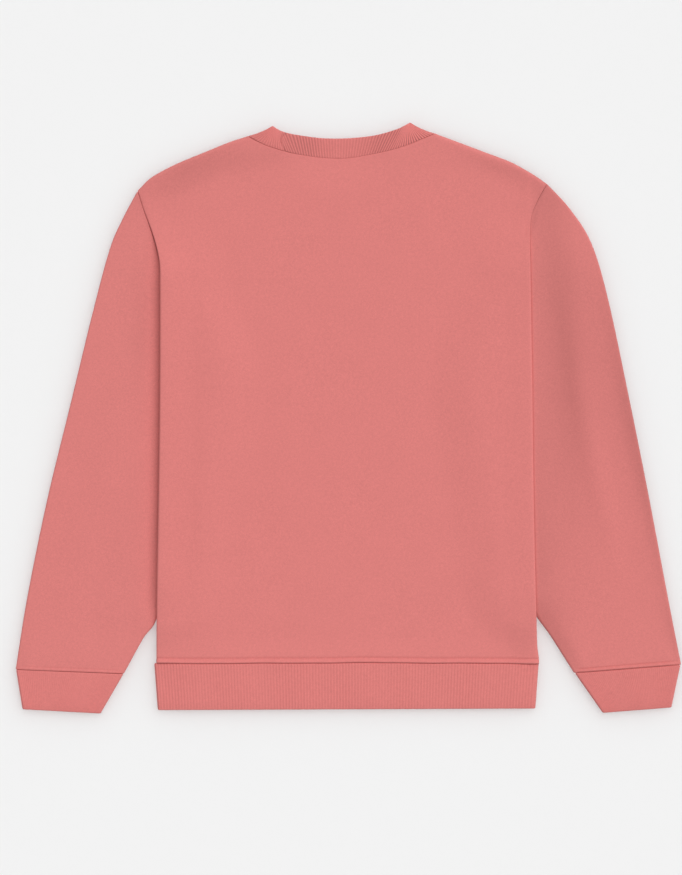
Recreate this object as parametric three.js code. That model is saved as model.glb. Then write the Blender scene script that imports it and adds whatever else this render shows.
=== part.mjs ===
import * as THREE from "three";

// Crewneck sweatshirt laid flat with its back up and its sleeves folded straight down.
// Millimetres. +X is to the right as seen from above, +Y towards the neck, +Z up from the surface.
// Up to the last lines, x counts from the middle of the neck and y from the hem's lower edge.

const { lerp, smoothstep, clamp } = THREE.MathUtils;

// Cloth walls and seams
const fleeceWall = 2.2;
const ribWall = 2.8; // rib folded double
const ribRise = 0.6; // a rib's ridge over its groove
const seamGap = 0.3;

// Thickness of each stretch as it lies, both its walls together
const bodyThick = 5.4;
const foldThick = 7.6; // where the back panel rolls under at the sides
const seamThick = 6; // at the armhole seams and shoulders
const sleeveThick = 5.4;
const bandThick = 6.8; // hem band and cuffs
const bandProud = 0.6; // how far the neckband stands over the panel it is sewn to

// Levels along y
const hemSeamY = 55.7;
const underarmY = 388;
const tuckTopY = 522; // above here the armhole seam shows
const tuckFade = 40; // stretch over which the side roll opens out into the seam
const liftLow = 58; // the body starts to climb over the sleeves
const liftFull = 106;
const liftTop = 628; // and is level with them again at the shoulder points
const shoulderBulkFrom = 640; // the shoulder seams' allowance thickens the back between these two
const shoulderBulkTo = 690;
const panelHeight = 600; // of a panel, for stretches measured from its top edge

// Widths
const foldTurn = 4; // how far in from the edge the side roll starts
const shoulderTurn = 5;
const endRun = 0.5; // straight end of the wall where it meets a sleeve
const climbFrom = 86; // how far inside a sleeve's inner edge the body starts to climb onto it
const climbTo = 22; // and where it is up
const shoulderFade = 14; // stretch beside the neck where the shoulder edge stays flat
const rollRun = 40; // stretch over which the side roll flattens into the panel
const turnSteps = 4; // steps round each roll and each edge of a tube
const cornerRun = 0.05; // share of the height over which the side edge comes down to the shoulder point

// Rib pitches
const hemRibPitch = 3.75;
const neckRibPitch = 3.3;
const cuffRibPitch = 2.6;

// Local shapes: a dip of the back over the neck opening, by its share of the way to the front neck
// seam, and a ridge of seam allowance over the hem seam
const neckDip = { depth: 2.3, reach: 0.72, run: 0.5 };
const hemRidge = { rise: 1.3, above: 3, half: 3 };

// The front comes down from the armhole seams between these distances over and under the underarm
const frontClimb = { under: 4, over: 44 };

// Shares of a sleeve's width and length over which its folds fade out, and the most they rise
const sleeveFold = { width: 0.12, length: 0.1, most: 1.4 };

// Rounded edges of the cuffs and hem band: share of the length and drop at the seam and free edges
const bandRound = { seamTo: 0.06, seamDrop: 0.5, freeFrom: 0.94, freeDrop: 0.6 };

// The neckband comes up onto the back between these shares of its width, and drops at its free edge
const neckRound = { from: 0.01, to: 0.1, freeDrop: 0.6, power: 8 };

// Edge of the body as it lies: the side fold, and above it the part of the armhole seam that shows
const bodyEdge = {
  left: [
    { y: 56, x: -231.5 },
    { y: 250, x: -229.9 },
    { y: 400, x: -228.7 },
    { y: 515, x: -227.6 },
    { y: 543, x: -228.2 },
    { y: 573, x: -235 },
    { y: 610, x: -248.1 },
    { y: 630, x: -254.5 },
  ],
  right: [
    { y: 56, x: 232 },
    { y: 120, x: 229.6 },
    { y: 250, x: 226.7 },
    { y: 400, x: 224.8 },
    { y: 560, x: 222.6 },
    { y: 595, x: 223.6 },
    { y: 612, x: 229.2 },
    { y: 637, x: 242.6 },
  ],
};

// Side seam and armhole seam where the body hides them
const hiddenSeam = [
  { y: 56, inset: 50 },
  { y: 300, inset: 49 },
  { y: 388, inset: 48 },
  { y: 430, inset: 40 },
  { y: 480, inset: 20 },
  { y: 510, inset: 4 },
  { y: 522, inset: 0 },
];

// Shoulder line and back neck seam from left to right
const topEdge = [
  { x: -254.5, y: 630 },
  { x: -240, y: 643 },
  { x: -204, y: 664.5 },
  { x: -160, y: 683.5 },
  { x: -120.5, y: 695.4 },
  { x: -97, y: 684.4 },
  { x: -57, y: 673.6 },
  { x: -8.5, y: 669 },
  { x: 30, y: 674 },
  { x: 68, y: 683.4 },
  { x: 105.5, y: 699.4 },
  { x: 150, y: 685.5 },
  { x: 197, y: 667.5 },
  { x: 224, y: 653 },
  { x: 242.6, y: 637 },
];
const neckLeft = 4; // rows of topEdge where the neck seam starts and ends
const neckRight = 10;

// Free edge of the neckband's back arc
const neckFreeEdge = [
  { x: -90.6, y: 708.5 },
  { x: -80, y: 702.4 },
  { x: -62, y: 697.8 },
  { x: -21, y: 693.3 },
  { x: 28, y: 696.2 },
  { x: 60, y: 704.4 },
  { x: 76.8, y: 712.5 },
];

// Depth of the front neckline and of its free edge below the ends of the band
const frontNeckDrop = 106;
const frontFreeDrop = 96;

// Sleeve sections from the armhole to the cuff seam, where the outer and inner edges lie
const sleeveSections = {
  left: [
    { outerX: -254.5, outerY: 630, innerX: -180.6, innerY: 388 },
    { outerX: -273, outerY: 595, innerX: -186, innerY: 352 },
    { outerX: -288, outerY: 560, innerX: -192, innerY: 320 },
    { outerX: -307.8, outerY: 487, innerX: -204, innerY: 257 },
    { outerX: -336, outerY: 371, innerX: -217, innerY: 187 },
    { outerX: -364.5, outerY: 254, innerX: -230.8, innerY: 112 },
    { outerX: -388, outerY: 137, innerX: -248, innerY: 85 },
    { outerX: -401.8, outerY: 47, innerX: -269.5, innerY: 42 },
  ],
  right: [
    { outerX: 242.6, outerY: 637, innerX: 176.6, innerY: 388 },
    { outerX: 270, outerY: 607, innerX: 184, innerY: 354 },
    { outerX: 296, outerY: 566, innerX: 191, innerY: 321 },
    { outerX: 317, outerY: 497, innerX: 204, innerY: 258 },
    { outerX: 343.3, outerY: 371, innerX: 217, innerY: 188 },
    { outerX: 366.3, outerY: 254, innerX: 231.5, innerY: 113 },
    { outerX: 388.3, outerY: 137, innerX: 252, innerY: 82 },
    { outerX: 405.2, outerY: 53.6, innerX: 278, innerY: 44 },
  ],
};

// Corners of the cuffs and of the hem band: the seam edge and the free edge
const bands = {
  cuffLeft: {
    seam: { fromX: -400.6, fromY: 46.4, toX: -270.8, toY: 40.8 },
    free: { fromX: -393.6, fromY: 0.4, toX: -298.9, toY: -4.6 },
  },
  cuffRight: {
    seam: { fromX: 404, fromY: 53, toX: 279.6, toY: 43.2 },
    free: { fromX: 394.5, fromY: 2, toX: 310.4, toY: -4.2 },
  },
  hem: {
    seam: { fromX: -233.2, fromY: 55.4, toX: 233, toY: 55.4 },
    free: { fromX: -229.2, fromY: 0, toX: 229, toY: 0 },
  },
};

// Soft folds on the upper face: middle, direction, half length and half width, and rise
const folds = [
  { x: -206, y: 646, turn: 26, long: 52, wide: 13, rise: -0.7 }, // under the left shoulder line
  { x: 203, y: 642, turn: -24, long: 42, wide: 11, rise: -0.6 }, // under the right one
  { x: 300, y: 300, turn: 102, long: 120, wide: 17, rise: 1.2 }, // ridge down the right sleeve
  { x: 262, y: 420, turn: 98, long: 95, wide: 13, rise: -1 }, // trough between it and the body
  { x: 343, y: 318, turn: 102, long: 105, wide: 13, rise: -0.9 }, // trough outside it
  { x: 257, y: 78, turn: 56, long: 34, wide: 9, rise: -1.1 }, // above the right cuff's inner end
  { x: -286, y: 330, turn: 78, long: 110, wide: 20, rise: 0.7 }, // swell down the left sleeve
  { x: -262, y: 96, turn: 124, long: 34, wide: 9, rise: -0.7 },
];

const fleeceLook = { color: 0xdb807d, roughness: 0.95, metalness: 0 };
const ribLook = { color: 0xd27b77, roughness: 0.92, metalness: 0 };

// Value in one column of a table at a place in another, on a smooth curve through its rows
function along(rows, placeColumn, valueColumn, place) {
  const last = rows.length - 1;
  let i = 0;
  while (i < last - 1 && place > rows[i + 1][placeColumn]) i += 1;
  const slope = (a, b) =>
    (rows[b][valueColumn] - rows[a][valueColumn]) / (rows[b][placeColumn] - rows[a][placeColumn]);
  const span = rows[i + 1][placeColumn] - rows[i][placeColumn];
  const t = (place - rows[i][placeColumn]) / span;
  const startSlope = slope(Math.max(i - 1, 0), i + 1) * span;
  const endSlope = slope(i, Math.min(i + 2, last)) * span;
  return (
    (2 * t ** 3 - 3 * t ** 2 + 1) * rows[i][valueColumn] +
    (t ** 3 - 2 * t ** 2 + t) * startSlope +
    (3 * t ** 2 - 2 * t ** 3) * rows[i + 1][valueColumn] +
    (t ** 3 - t ** 2) * endSlope
  );
}

const sideOf = (x) => (x < 0 ? "left" : "right");
const edgeX = (side, y) => along(bodyEdge[side], "y", "x", y);
const outward = (side) => (side === "left" ? -1 : 1);
const shoulderY = (side) => bodyEdge[side].at(-1).y;

// Side seam below the underarm, armhole seam above it
function seamX(side, y) {
  const inset = y < tuckTopY ? along(hiddenSeam, "y", "inset", y) : 0;
  return edgeX(side, y) - outward(side) * Math.max(inset, 0);
}

// Shoulder line and back neck seam, in three stretches so that the corners at the neck stay sharp
function topY(x) {
  if (x < topEdge[neckLeft].x) return along(topEdge.slice(0, neckLeft + 1), "x", "y", x);
  if (x < topEdge[neckRight].x) return along(topEdge.slice(neckLeft, neckRight + 1), "x", "y", x);
  return along(topEdge.slice(neckRight), "x", "y", x);
}

const bandLeft = topEdge[neckLeft];
const bandRight = topEdge[neckRight];
const neckMiddle = (bandLeft.x + bandRight.x) / 2;
const neckHalf = (bandRight.x - bandLeft.x) / 2;

// How far a place is from the middle of the neck opening: 1 on the front neck seam
function neckReach(x, y) {
  const level = lerp(bandLeft.y, bandRight.y, (x - bandLeft.x) / (2 * neckHalf));
  return Math.hypot((x - neckMiddle) / neckHalf, Math.max(level - y, 0) / frontNeckDrop);
}

// Shoulder line and front neck seam, which is half an ellipse, or a wider one by the gap
function frontTopY(x, gap = 0) {
  if (x < bandLeft.x || x > bandRight.x) return topY(x);
  const t = (x - neckMiddle) / (neckHalf + gap);
  const drop = (frontNeckDrop + gap) * Math.sqrt(Math.max(1 - t * t, 0));
  return lerp(bandLeft.y, bandRight.y, (1 + t) / 2) - drop;
}

function foldRise(x, y) {
  let rise = 0;
  for (const fold of folds) {
    const turn = THREE.MathUtils.degToRad(fold.turn);
    const ahead = (x - fold.x) * Math.cos(turn) + (y - fold.y) * Math.sin(turn);
    const aside = (y - fold.y) * Math.cos(turn) - (x - fold.x) * Math.sin(turn);
    rise += fold.rise * Math.exp(-((ahead / fold.long) ** 2) - (aside / fold.wide) ** 2);
  }
  return rise;
}

// Height of the body's underside, which climbs over the sleeve that lies under each side
function lift(x, y) {
  const side = sideOf(x);
  const reach =
    y < underarmY
      ? Math.abs(along([...sleeveSections[side]].reverse(), "innerY", "innerX", y))
      : Math.abs(seamX(side, y));
  const over = smoothstep(Math.abs(x), reach - climbFrom, reach - climbTo);
  const low = smoothstep(y, liftLow, liftFull);
  const high = 1 - smoothstep(y, tuckTopY, liftTop);
  return (sleeveThick + seamGap) * over * low * high;
}

// Height of the back panel's upper face
function backTop(x, y) {
  const side = sideOf(x);
  const fromEdge = Math.abs(edgeX(side, Math.min(y, shoulderY(side)))) - Math.abs(x);
  const edgeThick = lerp(foldThick, seamThick, smoothstep(y, tuckTopY, liftTop));
  const panelThick = lerp(edgeThick, bodyThick, smoothstep(fromEdge, foldTurn, rollRun));
  const thick = lerp(panelThick, seamThick, smoothstep(y, shoulderBulkFrom, shoulderBulkTo));
  const dip = neckDip.depth * smoothstep(neckDip.reach - neckReach(x, y), 0, neckDip.run);
  const ridge = hemRidge.rise * Math.exp(-(((y - hemSeamY - hemRidge.above) / hemRidge.half) ** 2));
  return lift(x, y) + thick - dip + ridge + foldRise(x, y);
}

// Place in plan on a panel: u from left to right, v from the hem seam to the top edge
function panelPlan(sideX, top, u, v) {
  const across = (row) => {
    const left = sideX("left", lerp(hemSeamY, shoulderY("left"), row));
    const right = sideX("right", lerp(hemSeamY, shoulderY("right"), row));
    return lerp(left, right, u);
  };
  return { x: across(v), y: lerp(hemSeamY + seamGap, top(across(1)), v) };
}

// Columns of the panels from left to right, with one at each end of the neck seam
const shoulderLeft = topEdge[0].x;
const shoulderRight = topEdge.at(-1).x;
const neckFrom = (bandLeft.x - shoulderLeft) / (shoulderRight - shoulderLeft);
const neckTo = (bandRight.x - shoulderLeft) / (shoulderRight - shoulderLeft);
const backColumns = [
  0.035, 0.09, 0.16, 0.22, neckFrom, 0.31, 0.36, 0.43, 0.5, 0.57, 0.63, 0.68, neckTo, 0.77, 0.83, 0.9,
  0.965,
];
const frontColumns = [
  0, 0.06, 0.14, 0.2, neckFrom, 0.276, 0.297, 0.335, 0.385, 0.44, 0.5, 0.56, 0.612, 0.66, 0.697, 0.717,
  neckTo, 0.78, 0.86, 0.94, 1,
];

// The neck seams are straight from one panel column to the next, so that the band follows the panels
function chordY(columns, top, x) {
  const places = columns.map((u) => lerp(shoulderLeft, shoulderRight, u));
  const i = clamp(places.findIndex((place) => place > x), 1, places.length - 1);
  return lerp(top(places[i - 1]), top(places[i]), (x - places[i - 1]) / (places[i] - places[i - 1]));
}

function solidMesh(name, look, points, faces) {
  const geometry = new THREE.BufferGeometry();
  geometry.setAttribute("position", new THREE.Float32BufferAttribute(points, 3));
  geometry.setIndex(faces);
  geometry.computeVertexNormals();
  const mesh = new THREE.Mesh(geometry, new THREE.MeshStandardMaterial(look));
  mesh.name = name;
  return mesh;
}

// Closed wall between two grids of points of the same size: the upper face and the lower one
function panelMesh(name, look, upper, lower) {
  const rows = upper.length;
  const columns = upper[0].length;
  const points = [...upper.flat(), ...lower.flat()].flatMap((p) => [p.x, p.y, p.z]);
  const faces = [];
  const at = (layer, row, column) => (layer * rows + row) * columns + column;
  const quad = (a, b, c, d) => faces.push(a, b, c, a, c, d);
  for (let r = 0; r < rows - 1; r += 1) {
    for (let c = 0; c < columns - 1; c += 1) {
      quad(at(0, r, c), at(0, r, c + 1), at(0, r + 1, c + 1), at(0, r + 1, c));
      quad(at(1, r, c), at(1, r + 1, c), at(1, r + 1, c + 1), at(1, r, c + 1));
    }
    const end = columns - 1;
    quad(at(0, r, 0), at(0, r + 1, 0), at(1, r + 1, 0), at(1, r, 0));
    quad(at(0, r, end), at(1, r, end), at(1, r + 1, end), at(0, r + 1, end));
  }
  for (let c = 0; c < columns - 1; c += 1) {
    quad(at(0, 0, c), at(1, 0, c), at(1, 0, c + 1), at(0, 0, c + 1));
    quad(at(0, rows - 1, c), at(0, rows - 1, c + 1), at(1, rows - 1, c + 1), at(1, rows - 1, c));
  }
  return solidMesh(name, look, points, faces);
}

// Closed wall of a tube: loops of points from one end to the other, outside and inside
function tubeMesh(name, look, outside, inside) {
  const points = [...outside.flat(), ...inside.flat()].flatMap((p) => [p.x, p.y, p.z]);
  const faces = [];
  const skin = (loops, start, outwards) => {
    const count = loops[0].length;
    for (let r = 0; r < loops.length - 1; r += 1) {
      for (let c = 0; c < count; c += 1) {
        const a = start + r * count + c;
        const b = start + r * count + ((c + 1) % count);
        if (outwards) faces.push(a, b, b + count, a, b + count, a + count);
        else faces.push(a, b + count, b, a, a + count, b + count);
      }
    }
  };
  const insideStart = outside.length * outside[0].length;
  skin(outside, 0, true);
  skin(inside, insideStart, false);
  // An end joins two loops that may have unequal counts, step by step in the order of their keys
  const rim = (outer, outerStart, inner, innerStart, first) => {
    const key = (loop, i) => (i < loop.length ? loop[i].key : 1 + loop[0].key);
    let i = 0;
    let j = 0;
    while (i < outer.length || j < inner.length) {
      const a = outerStart + (i % outer.length);
      const b = innerStart + (j % inner.length);
      const outerNext = j >= inner.length || (i < outer.length && key(outer, i + 1) <= key(inner, j + 1));
      if (outerNext) i += 1;
      else j += 1;
      const c = outerNext ? outerStart + (i % outer.length) : innerStart + (j % inner.length);
      if (first) faces.push(a, b, c);
      else faces.push(a, c, b);
    }
  };
  rim(outside[0], 0, inside[0], insideStart, true);
  const lastOutside = (outside.length - 1) * outside[0].length;
  const lastInside = insideStart + (inside.length - 1) * inside[0].length;
  rim(outside.at(-1), lastOutside, inside.at(-1), lastInside, false);
  // Faces point out where the loops' sense and the tube's direction agree, and are turned where not
  const [corner, next] = outside[0];
  const ahead = outside[1][0];
  const sense = (next.x - corner.x) * (ahead.y - corner.y) - (next.y - corner.y) * (ahead.x - corner.x);
  return solidMesh(name, look, points, sense > 0 ? faces : faces.reverse());
}

// Shares of the way round a tube that its upper wall and each turned edge take
const wallKey = 0.4;
const turnKey = 0.1;

// One loop round a flattened tube at v: over the upper wall, round the far edge,
// back along the lower wall and round the near edge. Depth is how far in from the outer face,
// and over and under hold the shares of each wall's flat stretch where a column goes.
function tubeLoop(tube, v, depth, over, under, ribbed) {
  const near = tube.plan("upper", 0, v);
  const far = tube.plan("upper", 1, v);
  const width = Math.hypot(far.x - near.x, far.y - near.y);
  const loop = [];
  const turnAt = (end) => tube.topZ(end, v) / 2;
  const flatFrom = turnAt(0) / width;
  const flatTo = 1 - turnAt(1) / width;
  const add = (layer, s, z, key) => loop.push({ ...tube.plan(layer, s, v), z, key });
  const turn = (end, degrees, key) => {
    const radius = turnAt(end);
    const angle = THREE.MathUtils.degToRad(degrees);
    const inset = (radius - (radius - depth) * Math.sin(angle)) / width;
    const layer = degrees <= 90 ? "upper" : "lower";
    add(layer, end ? 1 - inset : inset, radius + (radius - depth) * Math.cos(angle), key);
  };
  over.forEach((share, i) => {
    const s = lerp(flatFrom, flatTo, share);
    const rise = ribbed && i % 2 ? ribRise : 0;
    add("upper", s, tube.topZ(s, v) - depth + rise, turnKey / 2 + wallKey * s);
  });
  for (let i = 1; i < turnSteps; i += 1) {
    turn(1, (180 * i) / turnSteps, turnKey / 2 + wallKey + (turnKey * i) / turnSteps);
  }
  for (const share of under.toReversed()) {
    const s = lerp(flatFrom, flatTo, share);
    add("lower", s, depth, 1 - turnKey / 2 - wallKey * s);
  }
  for (let i = 1; i < turnSteps; i += 1) {
    turn(0, 180 - (180 * i) / turnSteps, 1 - turnKey / 2 + (turnKey * i) / turnSteps);
  }
  return loop;
}

const steps = (count) => Array.from({ length: count + 1 }, (_, i) => i / count);

// Rows of the panels from hem to top. The sleeves' armhole ends take the same places on the seam.
const panelRows = [
  0, 0.006, 0.014, 0.03, 0.06, 0.09, 0.2, 0.32, 0.44, 0.53, 0.58, 0.65, 0.72, 0.78, 0.82, 0.86, 0.9, 0.94,
  0.97, 0.991, 0.997, 1,
];

// Back panel: its side edges turn down to the armhole seam, or roll under as far as the side seam
function makeBack() {
  const cornerLevel = fleeceWall + seamGap + endRun;
  const shoulderTop = (x) => topY(x) - (x > bandLeft.x && x < bandRight.x ? seamGap : 0);
  const grid = (depth) =>
    panelRows.map((v) => {
      const flatZ = (p) => {
        const fromTop = (1 - v) * panelHeight;
        const beside = Math.max(bandLeft.x - p.x, p.x - bandRight.x);
        const share = smoothstep(beside, 0, shoulderFade);
        const top = backTop(p.x, p.y);
        const drop = (top - cornerLevel) * share;
        const t = clamp(1 - fromTop / shoulderTurn, 0, 1);
        return top - depth - Math.max(drop - depth, 0) * (1 - Math.sqrt(1 - t * t));
      };
      const sideColumns = (side) => {
        const rim = panelPlan(edgeX, shoulderTop, side === "left" ? 0 : 1, v);
        const inward = (inset) => ({ x: rim.x - outward(side) * inset, y: rim.y });
        const tucked = Math.abs(rim.x - seamX(side, rim.y));
        const under = 1 - smoothstep(rim.y, tuckTopY, tuckTopY + tuckFade);
        const most = Math.PI * lerp(0.5, 1, under);
        const top = flatZ(inward(foldTurn)) + depth;
        const seamLevel = lerp(cornerLevel, sleeveThick - fleeceWall, smoothstep(1 - v, 0, cornerRun));
        const level = Math.min(lerp(seamLevel, lift(rim.x, rim.y), under), top - depth);
        const height = (top - level) / (1 - Math.cos(most));
        const columns = [];
        for (let i = 0; i <= turnSteps; i += 1) {
          const angle = (most * i) / turnSteps;
          const inset = foldTurn - (foldTurn - depth) * Math.sin(angle);
          columns.push({ ...inward(inset), z: top - height + (height - depth) * Math.cos(angle) });
        }
        const from = foldTurn - (foldTurn - depth) * Math.sin(most);
        const run = Math.max(tucked - seamGap - from, endRun);
        for (const part of [0.5, 1]) {
          const p = inward(from - Math.cos(most) * run * part);
          const z = lerp(level, lift(p.x, p.y), under) - depth * Math.cos(most);
          columns.push({ ...p, z: z - Math.sin(most) * run * part });
        }
        return columns;
      };
      const flat = backColumns.map((u) => {
        const p = panelPlan(edgeX, shoulderTop, u, v);
        return { ...p, z: flatZ(p) };
      });
      return [...sideColumns("left").reverse(), ...flat, ...sideColumns("right")];
    });
  return panelMesh("back", fleeceLook, grid(0), grid(fleeceWall));
}

// Front panel, flat on the surface, climbing at its sides to the side seams
function makeFront() {
  const inner = (side, y) => seamX(side, y) - outward(side) * seamGap;
  const grid = (depth) =>
    panelRows.map((v) =>
      frontColumns.map((u) => {
        const p = panelPlan(inner, (x) => frontTopY(x, 2 * seamGap), u, v);
        const climbed = smoothstep(p.y, underarmY - frontClimb.under, underarmY + frontClimb.over);
        const rise = lift(p.x, p.y) * (1 - climbed);
        return { ...p, z: rise + depth };
      }),
    );
  return panelMesh("front", fleeceLook, grid(fleeceWall), grid(0));
}

// Sleeve: a flattened tube through its sections, its first loop bent to the armhole seam
function makeSleeve(side) {
  const rows = sleeveSections[side].map((row, i, all) => ({ ...row, v: i / (all.length - 1) }));
  const shoulder = shoulderY(side);
  const plan = (layer, s, v) => {
    const column = (name) => along(rows, "v", name, v);
    const seamY = lerp(shoulder, underarmY, s);
    const straight = lerp(rows[0].outerX, rows[0].innerX, s);
    const bend = (seamX(side, seamY) + outward(side) * seamGap - straight) * (1 - v) ** 2;
    return {
      x: lerp(column("outerX"), column("innerX"), s) + bend,
      y: lerp(column("outerY"), column("innerY"), s),
    };
  };
  const topZ = (s, v) => {
    const p = plan("upper", s, v);
    const rise = Math.min(foldRise(p.x, p.y), sleeveFold.most);
    const inside = smoothstep(Math.min(s, 1 - s), 0, sleeveFold.width);
    return sleeveThick + rise * inside * smoothstep(v, 0, sleeveFold.length);
  };
  const tube = { plan, topZ };
  const seamShare = (shoulder - hemSeamY) / (shoulder - underarmY);
  const turn = sleeveThick / 2 / Math.hypot(rows[0].outerX - rows[0].innerX, shoulder - underarmY);
  const inFlat = (s) => (s - turn) / (1 - 2 * turn);
  const shares = panelRows.map((v) => inFlat((1 - v) * seamShare)).filter((s) => s > 0 && s < 1);
  const across = [0, ...shares.reverse(), 1];
  const levels = [0, 0.04, 0.09, 0.15, 0.22, 0.3, 0.4, 0.5, 0.6, 0.7, 0.8, 0.9, 0.96, 1];
  const loops = (depth) => levels.map((v) => tubeLoop(tube, v, depth, across, across, false));
  return tubeMesh("sleeve_" + side, fleeceLook, loops(0), loops(fleeceWall));
}

// Cuff or hem band: a flattened ring of rib between its seam edge and its free edge
function makeBand(name, corners, pitch, plainSteps) {
  const { seam, free } = corners;
  const corner = (edge, s) => ({ x: lerp(edge.fromX, edge.toX, s), y: lerp(edge.fromY, edge.toY, s) });
  const tube = {
    plan: (layer, s, v) => {
      const a = corner(seam, s);
      const b = corner(free, s);
      return { x: lerp(a.x, b.x, v), y: lerp(a.y, b.y, v) };
    },
    topZ: (s, v) => {
      const seamDrop = bandRound.seamDrop * (1 - smoothstep(v, 0, bandRound.seamTo));
      return bandThick - seamDrop - bandRound.freeDrop * smoothstep(v, bandRound.freeFrom, 1);
    },
  };
  const ribs = Math.round(Math.abs(seam.toX - seam.fromX) / pitch);
  const plain = steps(plainSteps);
  const levels = [0, bandRound.seamTo, bandRound.freeFrom, 1];
  const outside = levels.map((v) => tubeLoop(tube, v, 0, steps(2 * ribs), plain, true));
  const inside = [0, 1].map((v) => tubeLoop(tube, v, ribWall, plain, plain, false));
  return tubeMesh(name, ribLook, outside, inside);
}

// Neckband: a ring whose back arc lies on top and whose front arc lies lower down, underneath
function makeNeckband() {
  const arc = (from, to, drop, s) => {
    const angle = Math.PI * s;
    const x = (from.x + to.x) / 2 - ((to.x - from.x) / 2) * Math.cos(angle);
    return { x, y: lerp(from.y, to.y, (1 - Math.cos(angle)) / 2) - drop * Math.sin(angle) };
  };
  const freeLeft = neckFreeEdge[0];
  const freeRight = neckFreeEdge.at(-1);
  const plan = (layer, s, v) => {
    const upper = layer === "upper";
    const seamAt = upper ? lerp(bandLeft.x, bandRight.x, s) : arc(bandLeft, bandRight, 0, s).x;
    const freeAt = lerp(freeLeft.x, freeRight.x, s);
    const seamY = upper ? chordY(backColumns, topY, seamAt) : chordY(frontColumns, frontTopY, seamAt);
    const free = upper
      ? { x: freeAt, y: along(neckFreeEdge, "x", "y", freeAt) }
      : arc(freeLeft, freeRight, frontFreeDrop, s);
    return { x: lerp(seamAt, free.x, v), y: lerp(seamY, free.y, v) };
  };
  const topZ = (s, v) => {
    const seam = plan("upper", s, 0);
    const overPanel = backTop(seam.x, seam.y) + bandProud;
    const inside = smoothstep(Math.min(s, 1 - s), neckRound.from, neckRound.to);
    return lerp(bandThick, overPanel, inside) - neckRound.freeDrop * v ** neckRound.power;
  };
  const tube = { plan, topZ };
  const ribs = Math.round((2 * neckHalf) / neckRibPitch);
  const outside = [0, 0.5, 1].map((v) => tubeLoop(tube, v, 0, steps(2 * ribs), steps(36), true));
  const inside = [0, 1].map((v) => tubeLoop(tube, v, ribWall, steps(16), steps(36), false));
  return tubeMesh("neckband", ribLook, outside, inside);
}

const garment = new THREE.Group();
garment.add(
  makeBack(),
  makeFront(),
  makeSleeve("left"),
  makeSleeve("right"),
  makeNeckband(),
  makeBand("cuff_left", bands.cuffLeft, cuffRibPitch, 8),
  makeBand("cuff_right", bands.cuffRight, cuffRibPitch, 8),
  makeBand("hem_band", bands.hem, hemRibPitch, 24),
);

// The part's origin is the middle of its footprint, on the surface it lies on
const reach = new THREE.Box3().setFromObject(garment);
garment.position.set(-(reach.min.x + reach.max.x) / 2, -(reach.min.y + reach.max.y) / 2, 0);

const sweatshirt = new THREE.Group();
sweatshirt.add(garment);

export default sweatshirt;
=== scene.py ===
import math
import bpy
import numpy as np
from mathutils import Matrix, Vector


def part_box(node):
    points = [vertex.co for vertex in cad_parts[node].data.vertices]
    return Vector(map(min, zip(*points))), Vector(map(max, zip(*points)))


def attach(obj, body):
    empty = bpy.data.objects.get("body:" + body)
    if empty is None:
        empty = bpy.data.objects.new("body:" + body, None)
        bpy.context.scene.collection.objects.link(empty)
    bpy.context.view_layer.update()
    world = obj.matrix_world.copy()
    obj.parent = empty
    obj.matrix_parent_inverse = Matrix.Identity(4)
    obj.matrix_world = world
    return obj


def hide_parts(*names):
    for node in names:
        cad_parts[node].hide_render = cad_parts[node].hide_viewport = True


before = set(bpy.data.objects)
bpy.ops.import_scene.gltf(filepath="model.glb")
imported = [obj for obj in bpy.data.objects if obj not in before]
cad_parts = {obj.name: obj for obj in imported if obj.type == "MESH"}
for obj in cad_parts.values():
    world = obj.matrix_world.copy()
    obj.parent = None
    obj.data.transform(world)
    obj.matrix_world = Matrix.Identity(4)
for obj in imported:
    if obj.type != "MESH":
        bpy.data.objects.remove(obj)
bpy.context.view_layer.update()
print("frame loaded")

# Crewneck sweatshirt laid flat with its back up. Shapes are in millimetres: x counts from the middle
# of the body, y from the hem's lower edge towards the neck, z up from the surface.
perMetre = 1000


# Columns of a short table by name
def table(columns, rows):
    return dict(zip(columns.split(), np.array(rows, float).T))


# Rows of such a table, each a dictionary
def eachRow(rows):
    return [dict(zip(rows, row)) for row in zip(*rows.values())]


# From a to b by a share
def mix(a, b, share):
    return a + (b - a) * share


# 0 below low, 1 above high, and a smooth S between them
def ramp(value, low, high):
    t = np.clip((value - low) / (high - low), 0, 1)
    return t * t * (3 - 2 * t)


# A bell of height 1 round a place
def bell(value, middle, half):
    return np.exp(-(((value - middle) / half) ** 2))


# The value, or low where it would fall lower, with a soft change between them
def atLeast(value, low, soft):
    return low + soft * np.logaddexp(0, (value - low) / soft)


# Value in one column of a table at places in another, on cubic curves through its rows
def along(rows, placeColumn, valueColumn, place):
    p, q = rows[placeColumn], rows[valueColumn]
    last = len(p) - 1
    i = np.clip(np.searchsorted(p, place) - 1, 0, last - 1)
    before, after = np.maximum(i - 1, 0), np.minimum(i + 2, last)
    span = p[i + 1] - p[i]
    t = (place - p[i]) / span
    startSlope = (q[i + 1] - q[before]) / (p[i + 1] - p[before]) * span
    endSlope = (q[after] - q[i]) / (p[after] - p[i]) * span
    return (
        (2 * t**3 - 3 * t**2 + 1) * q[i]
        + (t**3 - 2 * t**2 + t) * startSlope
        + (3 * t**2 - 2 * t**3) * q[i + 1]
        + (t**3 - t**2) * endSlope
    )


cloth = {
    "fleeceWall": 1.6,
    "ribWall": 2.8,  # rib folded double
    "ribRise": 0.6,  # a rib's ridge over its groove
    "seamGap": 0.04,  # between pieces that are sewn together
    "turnBlend": (0.2, 0.8),  # share of a tube's turned edge where its upper plan passes into the lower one
    "sharpTurn": 55,  # degrees, past which an edge isn't shaded smooth
}

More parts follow.
